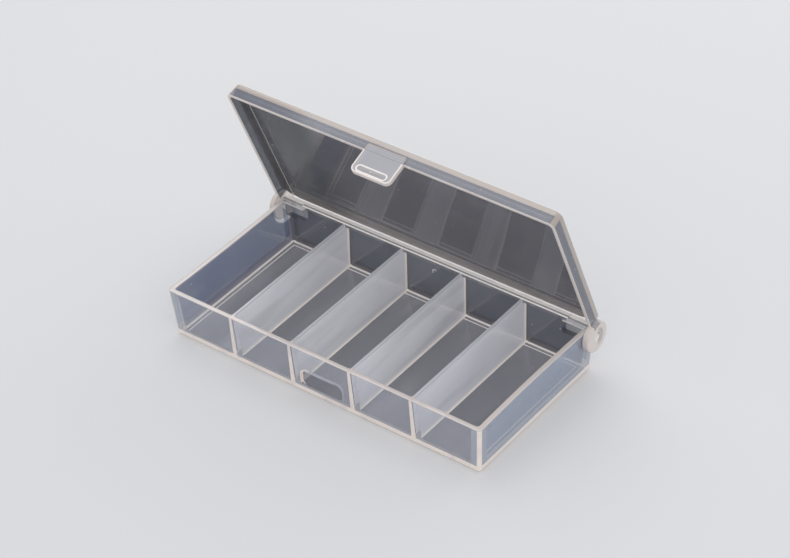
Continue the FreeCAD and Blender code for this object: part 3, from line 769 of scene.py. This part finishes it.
class Plastic(Wiring):
    """Milky clear plastic, painted in layers by place on the shut box, in millimetres."""

    def __init__(self, name, shade, cover, swung=False):
        """Starts with one colour that hides a share; swung paint is laid on the shut lid."""
        super().__init__(name)
        self.place = self.node("ShaderNodeTexCoord").outputs["Object"]
        if swung:
            turn = Euler((OPENING, 0, 0))
            pins = Vector((0, PIN_Y * MM, PIN_Z * MM))
            moved = pins - turn.to_matrix() @ pins
            self.place = self.mapped(self.place, {"Rotation": turn, "Location": moved})
        axes = self.node("ShaderNodeSeparateXYZ", sockets={0: self.place})
        self.x, self.y, self.z = (Value(self, axes.outputs[axis]) * (1 / MM) for axis in "XYZ")
        self.colour = rgba(shade)
        self.cover = cover

    def lay(self, mask, shade, cover=None):
        """Paints a colour where a mask is 1, and how much it hides if cover is given."""
        made = self.node("ShaderNodeMix", {"data_type": "RGBA"}, {0: mask, 6: self.colour, 7: rgba(shade)})
        self.colour = made.outputs[2]
        if cover is not None:
            self.cover = self.cover + mask * (cover - self.cover)

    def noise(self, scale, detail, stretch=None):
        """Even noise from 0 to 1; stretch draws it out along the axes."""
        place = self.mapped(self.place, {"Scale": stretch}) if stretch else self.place
        made = self.node("ShaderNodeTexNoise", sockets={"Vector": place, "Scale": scale, "Detail": detail})
        return Value(self, made.outputs["Fac"])

    def rounded(self, one, other):
        """How far a place lies from a corner's centre, outside a square corner or past one of its sides.

        The length of the two distances where both are positive, and else the greater one.
        """
        beyond = self.distance(self.most(one, 0), self.most(other, 0))
        return beyond + self.least(self.most(one, other), 0)

    def finish(self, props, stretch, streaks, gloss, coat):
        """Adds milky clouds, flow streaks and specks, then the glossy surface itself.

        The marks' sizes are given as how many lie along a metre.
        """
        clouds_a_metre, streaks_a_metre, cells_a_metre = 45.0, 160.0, 240.0
        waves_a_metre, grains_a_metre, grain_share = 110.0, 600.0, 0.12
        mark_level = 0.62
        speck_radius, share_of_cells_with_speck = 0.065, 0.5
        ripple_high = 0.04 * MM
        smoothest, duller_in_streaks = 0.09, 0.12

        cloud = self.noise(clouds_a_metre, 3.0)
        streak = self.noise(streaks_a_metre, 2.0, stretch)
        self.lay(cloud.over(mark_level, 0.18) * props.cloud, props.haze)
        self.lay(streak.over(mark_level, 0.14) * streaks, props.haze)
        cells = self.node("ShaderNodeTexVoronoi", sockets={"Vector": self.place, "Scale": cells_a_metre})
        chance = self.node("ShaderNodeSeparateColor", sockets={0: cells.outputs["Color"]}).outputs["Red"]
        speck = Value(self, cells.outputs["Distance"]).under(speck_radius, 0.012)
        speck = speck * Value(self, chance).over(1 - share_of_cells_with_speck, 0.02)
        self.lay(speck * props.speck_cover, props.edge, props.speck_cover)
        ripple = self.noise(waves_a_metre, 2.0) + self.noise(grains_a_metre, 1.0) * grain_share
        bump = self.node("ShaderNodeBump",
                         sockets={"Height": ripple, "Distance": ripple_high, "Strength": 1.0})
        # Milky plastic passes on most of the light that it scatters, so its shadow is fainter than it looks.
        in_shadow = Value(self, self.node("ShaderNodeLightPath").outputs["Is Shadow Ray"])
        self.cover = self.cover * (1 - in_shadow * props.shadow_pass)
        plastic = self.node("ShaderNodeBsdfPrincipled", sockets={
            "Base Color": self.colour,
            "Alpha": self.cover,
            "Roughness": smoothest + streak * duller_in_streaks,
            "IOR": 1.5,
            "Specular IOR Level": gloss,
            "Coat Weight": coat,
            "Coat Roughness": 0.03,
            "Coat IOR": 1.6,
            "Normal": bump.outputs["Normal"],
        })
        self.node("ShaderNodeOutputMaterial", sockets={"Surface": plastic.outputs["BSDF"]})
        return self.material


def tray_places(paint, t):
    """How far a place on the tray lies from its walls and dividers, in millimetres, and masks of its parts.

    The walls lean by straight lines in height. An end wall's bow is its largest value times one less the
    square of the share of the depth, times the share of the height to a power.
    """
    x, y, z = paint.x, paint.y, paint.z
    half_long, half_deep = t.long / 2, t.deep / 2
    bow = t.bow_left + x.over(0, 1.0) * (t.bow_right - t.bow_left)
    bow = bow * (1 - (y / half_deep) ** 2) * paint.most(z / t.high, 0) ** BOW_POWER
    from_end = half_long - t.end_lean + z * (t.end_lean / t.high) - abs(x) - bow
    from_side = half_deep - t.side_lean + z * (t.side_lean / t.high) - abs(y)
    from_outside = paint.least(from_end, from_side)
    at_back = y.over(0, 1.0)
    above_floor = z.over(t.floor + 0.12)
    across = abs(paint.maths("WRAP", x + t.pitch / 2, t.pitch / 2, -t.pitch / 2))
    half_divider = t.divider_foot / 2 - z * ((t.divider_foot - t.divider_top) / 2 / t.high)
    block_reach = t.pin + t.pin_play + t.socket_wall + 0.1
    block_start = half_long - t.end_wall - t.block_long
    return SimpleNamespace(
        from_end=from_end,
        from_side=from_side,
        from_outside=from_outside,
        from_divider=across - half_divider,
        beside_ear=paint.distance(y - PIN_Y, z - PIN_Z),
        block_reach=block_reach,
        block_start=block_start,
        in_block=abs(x).over(block_start - 0.1) * y.over(PIN_Y - block_reach),
        at_back=at_back,
        above_floor=above_floor,
        back_face=from_side.between(*INNER_FACE, 0.3) * at_back * above_floor,
        within=from_outside.over(INNER_FACE[0], 0.2),
        among_dividers=abs(x).under(t.pitch * 2, 0.5),
    )


def paint_tray_faces(paint, props, t, at):
    """Each wall's faces: the front wall is the clearest, and the right one is clearer than the left."""
    x, y, z = paint.x, paint.y, paint.z
    outer_front = at.from_side.under(OUTER_FACE) * at.from_end.over(OUTER_FACE) * (1 - at.at_back)
    paint.lay(outer_front, props.front_outside, props.front_cover)
    hazy_share, hazy_from, hazy_fade = 0.6, 24, 14
    hazy_end = at.from_end.under(OUTER_FACE) * y.over(hazy_from, hazy_fade) * hazy_share
    paint.lay(hazy_end, props.haze, props.wall_cover)
    clearer_at_right = 0.4
    paint.lay(at.within, props.wall_inside, props.inside_cover * (1 - x.over(0, 1.0) * clearer_at_right))
    inner_front = at.from_side.between(*INNER_FACE, 0.2) * (1 - at.at_back)
    paint.lay(inner_front, props.wall_inside, props.front_inside_cover)
    paint.lay(at.back_face, props.back_inside, props.back_cover)
    paint.lay(at.within * z.under(t.floor + 0.3), props.floor, props.floor_cover)
    side_face = at.from_divider.under(0.12, 0.06) * at.among_dividers * at.from_side.over(1.5, 0.1)
    paint.lay(side_face * at.above_floor, props.divider, props.divider_cover)
    paint.lay(at.in_block * z.over(PIN_Z - at.block_reach) * at.within, props.block, props.block_cover)


def paint_ear_windows(paint, props, t, at):
    """The ears show through the end walls, so the walls are clear there, and inside a little before them."""
    outer_radius, inner_radius = 5.4, 6.2
    forward, upward = 2.0, 1.5
    outer_window = at.beside_ear.under(outer_radius, 0.2) * at.from_end.under(OUTER_FACE)
    paint.lay(outer_window, props.wall_outside, props.ear_window)
    in_socket = at.beside_ear.under(t.pin + t.pin_play + 0.1, 0.1)
    socket = in_socket * abs(paint.x).over(at.block_start + 0.1)
    paint.lay(socket, props.wall_outside, props.ear_window)
    beside_window = paint.distance(paint.y - PIN_Y + forward, paint.z - PIN_Z - upward)
    inner_window = beside_window.under(inner_radius, 0.4) * at.from_end.between(INNER_FACE[0], 2.1)
    paint.lay(inner_window, props.wall_outside, props.ear_window)


def paint_gate_mark(paint, props, at):
    """A crescent left by the moulding on the back wall, painted as a white glint: a ring, cut off by a
    slanting line.
    """
    middle_x, middle_z = 0.5, 14.0
    inner_radius, outer_radius = 0.65, 0.95
    cut = middle_x - middle_z + 0.2
    from_middle = paint.distance(paint.x - middle_x, paint.z - middle_z)
    ring = from_middle.between(inner_radius, outer_radius)
    mark = ring * (paint.x - paint.z).under(cut, 0.2) * at.from_side.between(*INNER_FACE) * at.at_back
    paint.lay(mark, props.shine, props.shine_cover)


def paint_latch_recess(paint, props, t, at):
    """The latch recess: painted shade where the wall is thin, outlined with a painted highlight where its
    sides turn, brightest at its left.
    """
    middle = (t.recess_foot + t.ledge_high) / 2
    past_side = abs(paint.x) - t.recess_wide / 2 + t.recess_corner
    past_end = abs(paint.z - middle) - (t.ledge_high - t.recess_foot) / 2 + t.recess_corner
    from_recess = paint.rounded(past_side, past_end) - t.recess_corner
    on_front = at.from_side.under(1.15) * (1 - at.at_back)
    paint.lay(from_recess.under(-0.1, 0.15) * on_front, props.recess, props.recess_cover)
    bright_end, faint_share = -5.5, 0.2
    outline = from_recess.between(-0.3, 0.35, 0.12) * on_front * paint.z.over(t.recess_foot + 0.6, 0.3)
    outline = outline * (paint.x.under(bright_end, 1.5) * (1 - faint_share) + faint_share)
    paint.lay(outline, props.foot_edge_glow, props.edge_cover)


def paint_tray_lines(paint, props, t, at):
    """Painted highlights along the foot of the walls, two beside an outer wall and one beside a divider.

    Upright painted highlights stand where a divider meets the back wall, and its ends, seen through the outer
    walls, get a painted glow.
    """
    foot = paint.z.between(t.floor - 0.3, t.floor + 0.7)
    out_of_reach = 9
    inner_edge = paint.least(at.from_end, at.from_side + (1 - at.at_back) * out_of_reach) - t.end_wall
    # Two painted highlights beside an outer wall, with the floor's own grey laid again between them.
    for start, end, shade, cover in (
        (0.0, 0.55, props.line, props.edge_cover),
        (0.55, 1.45, props.floor, props.floor_cover),
        (1.5, 2.0, props.line, props.edge_cover),
    ):
        paint.lay(foot * inner_edge.between(start, end, 0.1), shade, cover)
    beside_divider = foot * at.from_divider.between(-0.2, 0.7, 0.1) * at.among_dividers
    paint.lay(beside_divider * at.from_side.over(1.8), props.line, props.edge_cover)
    root = at.from_divider.between(-0.3, 0.55, 0.1) * at.among_dividers
    upright = root * at.from_side.between(1.3, 2.6, 0.15) * at.above_floor * at.at_back
    paint.lay(upright, props.line, props.edge_cover)
    end_face = at.from_divider.under(0.05, 0.1) * at.among_dividers
    paint.lay(end_face * at.from_side.under(0.4), props.foot_edge_glow, props.edge_cover * 0.95)


def paint_tray_edges(paint, props, t, at):
    """The upright corners, the foot and the rim, painted with the glow of the light that runs through the
    plastic and leaves it there.
    """
    column_wide, corner_wide, foot_high, rim_high = 3.5, 1.2, 2.6, 0.35
    column = at.from_end.under(column_wide, 0.3) * at.from_side.under(column_wide, 0.3)
    paint.lay(column * at.from_outside.under(0.7), props.column, props.column_cover)
    corner = at.from_end.under(corner_wide, 0.15) * at.from_side.under(corner_wide, 0.15)
    paint.lay(corner, props.foot_edge_glow, props.edge_cover)
    foot = paint.z.under(foot_high, 0.15) * at.from_outside.under(1.1)
    paint.lay(foot, props.foot_edge_glow, props.edge_cover)
    rim = paint.z.over(t.high - rim_high, 0.12)
    paint.lay(rim, props.edge, props.edge_cover)
    # A painted highlight along each divider's top edge.
    divider_top = rim * at.from_side.over(2.3, 0.3) * at.among_dividers
    paint.lay(divider_top, props.divider_top, props.edge_cover * 0.9)
    block_top = rim * at.in_block * at.within * paint.y.over(PIN_Y - at.block_reach + 0.5)
    paint.lay(block_top, props.haze, props.block_top_cover)


def paint_bead(paint, props, t, at):
    """The bead on the back wall: a painted highlight in cream on top, with a band of painted shade and a thin
    highlight along its inner edge, and painted shade on its front.
    """
    y, z = paint.y, paint.z
    front = t.deep / 2 - t.back_wall - t.bead_proud
    bead = z.over(t.high - t.bead_deep - 0.1) * y.over(front - 0.2) * at.from_side.over(0.1)
    paint.lay(bead, props.line, props.edge_cover)
    bead_shade_cover = props.edge_cover * 0.8
    paint.lay(bead * y.between(front + 0.3, front + 1.0, 0.1), props.bead_shade, bead_shade_cover)
    paint.lay(bead * y.under(front + 0.25, 0.1) * z.under(t.high, 0.1), props.bead_shade, bead_shade_cover)


def tray_plastic(props, t):
    """The tray's walls, dividers, floor and edges, each as light leaves it."""
    paint = Plastic("tray_plastic", props.wall_outside, props.wall_cover)
    at = tray_places(paint, t)
    paint_tray_faces(paint, props, t, at)
    paint_ear_windows(paint, props, t, at)
    paint_gate_mark(paint, props, at)
    paint_latch_recess(paint, props, t, at)
    paint_tray_lines(paint, props, t, at)
    paint_tray_edges(paint, props, t, at)
    paint_bead(paint, props, t, at)
    streaks = (1 - at.back_face) * props.streak
    return paint.finish(props, STREAKS_IN_TRAY, streaks, props.gloss, props.coat)


def lid_places(paint, t, lid):
    """The shut lid's lines, how far a place lies from its skirt and pins, and masks of its parts."""
    x, y, z = paint.x, paint.y, paint.z
    at = lid_lines(t, lid)
    at.past_side = abs(x) - at.inner_x
    at.past_front = 0 - y - at.inner_y
    at.past_corner_side = at.past_side + at.inner_corner
    at.past_corner_front = at.past_front + at.inner_corner
    at.out = paint.rounded(at.past_corner_side, at.past_corner_front) - at.inner_corner
    at.from_pin = paint.distance(y - PIN_Y, z - PIN_Z)
    at.clear_of_skirt = paint.most(y.over(at.back - 1.2, 0.5), z.under(at.foot - 0.1, 0.03))
    # Inside the plate towards its left end the coat is weaker and the colour darker, a painted shade where it
    # reflects less.
    dull_end, dull_fade = -36, 9
    at.dull = x.under(dull_end, dull_fade) * z.under(at.panel_z + 0.7)
    return at


def paint_plate(paint, props, at):
    """The plate, darker with painted shade and duller inside towards its left end, the skirt, and a painted
    highlight on the inner panel's edge.
    """
    x, y, z = paint.x, paint.y, paint.z
    paint.lay(at.dull, props.plate_dull)
    paint.lay(at.out.over(-0.1) * z.under(at.border_z - 0.1), props.skirt_inside, props.inside_cover)
    paint.lay(at.out.over(0.5), props.skirt_outside, props.skirt_cover)
    # A painted highlight along the inner panel's edge.
    from_panel = paint.most(abs(x) - at.panel_x, 0 - y - at.panel_front)
    panel_edge = z.between(at.panel_z - 0.2, at.border_z + 0.1)
    paint.lay(from_panel.between(-0.3, 0.2, 0.06) * panel_edge, props.line, props.edge_cover)


def paint_lid_edges(paint, props, at):
    """A painted glow lies on the plate's own thickness all round its edge, and on the skirt's free edge."""
    y, z = paint.y, paint.z
    edge_foot = 18.9
    top_edge = z.over(edge_foot, 0.15) * at.out.over(0.4) * y.under(at.back + 0.1)
    corner = at.out.over(-0.1) * at.past_corner_side.over(0.8, 0.4) * at.past_corner_front.over(0.8, 0.4)
    paint.lay(paint.most(top_edge, corner), props.lid_edge_glow, props.edge_cover)
    # The skirt's free edge gets a painted glow in the ears' colour.
    paint.lay(z.under(at.foot + 0.2) * at.out.over(-0.1), props.ear, props.edge_cover)
    back_edge = y.over(at.back - 0.3) * z.over(at.panel_z - 0.1) * at.out.under(-0.1)
    paint.lay(back_edge, props.lid_edge_glow, props.edge_cover)


def paint_ears(paint, props, t, lid, at):
    """Ears and pins: a clearer disc in a ring of painted glow, with painted shade on one side of its dimple
    and a painted glint on the dimple and the pins.
    """
    pin = at.from_pin.under(t.pin + 0.05) * at.past_side.under(-0.02)
    paint.lay(pin, props.shine, props.pin_cover)
    on_ear = at.past_side.over(-0.1) * at.from_pin.under(lid.ear + 0.2)
    only_ear = on_ear * paint.most(at.from_pin.under(lid.ear - 0.4), at.past_side.over(1.2))
    only_ear = only_ear * at.clear_of_skirt
    paint.lay(only_ear, props.ear, props.ear_cover)
    across = (paint.y - PIN_Y) * math.cos(OPENING) + (paint.z - PIN_Z) * math.sin(OPENING)
    shade_share = 0.55
    shaded = at.from_pin.between(1.9, 3.5, 0.5) * across.over(0.6, 1.0) * shade_share
    paint.lay(only_ear * shaded, props.ear_shade)
    # A painted glow round the ear's edge.
    ring = on_ear * at.from_pin.over(lid.ear - 0.35) * at.clear_of_skirt
    paint.lay(ring, props.edge, props.edge_cover)
    # The ear's inner face lies in shade and is painted brighter, as though lit.
    paint.lay(only_ear * at.past_side.under(0.3), props.line)
    paint.lay(on_ear * at.from_pin.under(lid.dimple + 0.1), props.shine, props.shine_cover)
    dimple_rim = on_ear * at.from_pin.between(lid.dimple + 0.1, lid.dimple + 0.5)
    paint.lay(dimple_rim * across.over(0.2, 0.6), props.ear_shade)


def paint_tab_root(paint, props, lid, at):
    """The root of the latch tab, outlined on the skirt in a painted glow, with a clear end, where root and
    tongue are one.
    """
    from_root = paint.most(abs(paint.x) - lid.tab_wide / 2, paint.z - at.foot - lid.tab_root)
    on_front = at.past_front.over(1.3)
    outline_wide = 0.7
    paint.lay(on_front * from_root.between(-outline_wide, 0.1), props.lid_edge_glow, props.edge_cover * 0.8)
    paint.lay(on_front * from_root.under(-outline_wide), props.tab, props.root_cover)
    paint.lay(paint.z.under(at.foot + 0.02, 0.01) * on_front, props.tab, 0.0)


def lid_plastic(props, t, lid):
    """The lid's plate, panel, skirt, ears and edges, each as light leaves it."""
    paint = Plastic("lid_plastic", props.plate, props.plate_cover, swung=True)
    at = lid_places(paint, t, lid)
    paint_plate(paint, props, at)
    paint_lid_edges(paint, props, at)
    paint_ears(paint, props, t, lid, at)
    paint_tab_root(paint, props, lid, at)
    coat = (1 - at.dull) * props.lid_coat
    return paint.finish(props, STREAKS_IN_LID, props.streak / 5, props.lid_gloss, coat)


def tab_plastic(props, t, lid):
    """The latch tab: milky, outlined in a painted glow, with the catch bar showing through inside a ring of
    painted highlight.
    """
    paint = Plastic("tab_plastic", props.tab, props.tab_cover, swung=True)
    x, z = paint.x, paint.z
    at = lid_lines(t, lid)
    corner = lid.tab_corner
    # How far a place lies inside the tongue's outline, its lower corners being round.
    sunk = abs(x) - (lid.tab_wide / 2 - corner)
    dropped = (at.foot - lid.tab_long + corner) - z
    round_part = paint.distance(paint.most(sunk, 0), paint.most(dropped, 0))
    from_edge = corner - paint.most(round_part, paint.most(sunk, dropped))
    # A painted glow along the tongue's outline.
    paint.lay(from_edge.under(0.6, 0.12), props.ear, props.edge_cover)
    past_end = paint.most(abs(x) - (lid.catch_long / 2 - lid.catch_radius), 0)
    from_bar = paint.distance(past_end, z - at.catch_z)
    # A painted highlight in a ring round the catch bar.
    ring = from_bar.between(lid.catch_radius - 0.1, lid.catch_radius + 0.45, 0.1)
    paint.lay(ring, props.ear, props.edge_cover)
    paint.lay(from_bar.under(lid.catch_radius - 0.15), props.bar, props.tab_cover)
    # The seam to the root hides nothing, so that neither part shows an end.
    paint.lay(z.over(at.foot - lid.tab_seam - 0.01, 0.01), props.tab, 0.0)
    return paint.finish(props, STREAKS_IN_LID, props.streak / 2, props.gloss, props.coat)


def settings(context):
    """The sizes of tray and lid in millimetres, and the plastic's colours, as the panel holds them."""
    scene = context.scene
    return in_mm(scene.bead_box_tray), in_mm(scene.bead_box_lid), scene.bead_box_plastic


class BEADBOX_OT_tray(Operator):
    """Make the tray"""

    bl_idname = "bead_box.tray"
    bl_label = "Tray"

    def execute(self, context):
        t, lid, props = settings(context)
        complete(make_tray(t, lid), "tray", tray_plastic(props, t))
        return {"FINISHED"}


class BEADBOX_OT_lid(Operator):
    """Make the lid with its ears and pins"""

    bl_idname = "bead_box.lid"
    bl_label = "Lid"

    def execute(self, context):
        t, lid, props = settings(context)
        complete(make_lid(t, lid), "lid", lid_plastic(props, t, lid))
        return {"FINISHED"}


class BEADBOX_OT_latch_tab(Operator):
    """Make the latch tab with its catch bar"""

    bl_idname = "bead_box.latch_tab"
    bl_label = "Latch Tab"

    def execute(self, context):
        t, lid, props = settings(context)
        complete(make_latch_tab(t, lid), "latch_tab", tab_plastic(props, t, lid))
        return {"FINISHED"}


class BEADBOX_OT_stage(Operator):
    """Lay the floor, hang the lamps and place the camera"""

    bl_idname = "bead_box.stage"
    bl_label = "Stage"

    def execute(self, context):
        scene = context.scene
        props = scene.bead_box_stage
        scene.view_settings.view_transform = "Standard"
        scene.cycles.transparent_max_bounces = 32

        reach, corner = 2000.0, 10.0
        outline = rounded_loop((-reach, reach, -reach, reach), corner)
        surface = Surface()
        surface.cap(surface.skin([at_height(outline, 0)])[0])
        floor = surface.object("floor")
        wiring = Wiring("floor_paint")
        paint = wiring.node("ShaderNodeBsdfPrincipled",
                            sockets={"Base Color": rgba(props.floor_colour), "Roughness": 0.7})
        wiring.node("ShaderNodeOutputMaterial", sockets={"Surface": paint.outputs["BSDF"]})
        floor.data.materials.append(wiring.material)

        camera = bpy.data.objects.new("camera", bpy.data.cameras.new("camera"))
        scene.collection.objects.link(camera)
        scene.camera = camera
        camera.data.sensor_width = 36.0
        camera.data.lens = props.camera_lens
        camera.data.clip_end = 10.0
        place, target = Vector(props.camera_place), Vector(props.camera_target)
        camera.location = place
        camera.rotation_mode = "QUATERNION"
        level = (target - place).to_track_quat("-Z", "Y")
        camera.rotation_quaternion = level @ Euler((0, 0, props.camera_roll)).to_quaternion()

        # Each lamp is a square, given by its place and side in metres and its power in watts.
        lit_point = Vector((0, 0, 0.02))
        for name, spot, side, power in (
            ("key_lamp", (-0.35, 0.25, 0.75), 0.7, 2.2),
            ("fill_lamp", (0.5, -0.5, 0.6), 0.7, 1.8),
            ("back_lamp", (0.1, 0.7, 0.35), 0.5, 1.0),
        ):
            lamp = bpy.data.objects.new(name, bpy.data.lights.new(name, "AREA"))
            scene.collection.objects.link(lamp)
            lamp.data.shape = "SQUARE"
            lamp.data.size = side
            lamp.data.energy = power
            lamp.location = spot
            lamp.rotation_mode = "QUATERNION"
            lamp.rotation_quaternion = (lit_point - Vector(spot)).to_track_quat("-Z", "Y")
        world = bpy.data.worlds.new("studio")
        scene.world = world
        world.use_nodes = True
        sky = world.node_tree.nodes["Background"]
        sky.inputs["Color"].default_value = rgba(props.sky_colour)
        sky.inputs["Strength"].default_value = props.sky_light
        return {"FINISHED"}


class BEADBOX_PT_panel(Panel):
    """The box's settings and pieces"""

    bl_idname = "BEADBOX_PT_panel"
    bl_label = "Bead Box"
    bl_space_type = "VIEW_3D"
    bl_region_type = "UI"
    bl_category = "Bead Box"

    def draw(self, context):
        for operator in OPERATORS:
            self.layout.operator(operator.bl_idname)
        for name in GROUPS:
            group = getattr(context.scene, name)
            for setting in group.bl_rna.properties.keys():
                if setting not in ("rna_type", "name"):
                    self.layout.prop(group, setting)


GROUPS = {
    "bead_box_tray": BeadBoxTray,
    "bead_box_lid": BeadBoxLid,
    "bead_box_plastic": BeadBoxPlastic,
    "bead_box_stage": BeadBoxStage,
}
OPERATORS = (BEADBOX_OT_tray, BEADBOX_OT_lid, BEADBOX_OT_latch_tab, BEADBOX_OT_stage)
CLASSES = (*GROUPS.values(), *OPERATORS, BEADBOX_PT_panel)


def register():
    for made in CLASSES:
        bpy.utils.register_class(made)
    for name, group in GROUPS.items():
        setattr(bpy.types.Scene, name, PointerProperty(type=group))


def unregister():
    for name in GROUPS:
        delattr(bpy.types.Scene, name)
    for made in reversed(CLASSES):
        bpy.utils.unregister_class(made)


def main():
    register()
    bpy.ops.bead_box.tray()
    bpy.ops.bead_box.lid()
    bpy.ops.bead_box.latch_tab()
    bpy.ops.bead_box.stage()


if __name__ == "__main__":
    main()
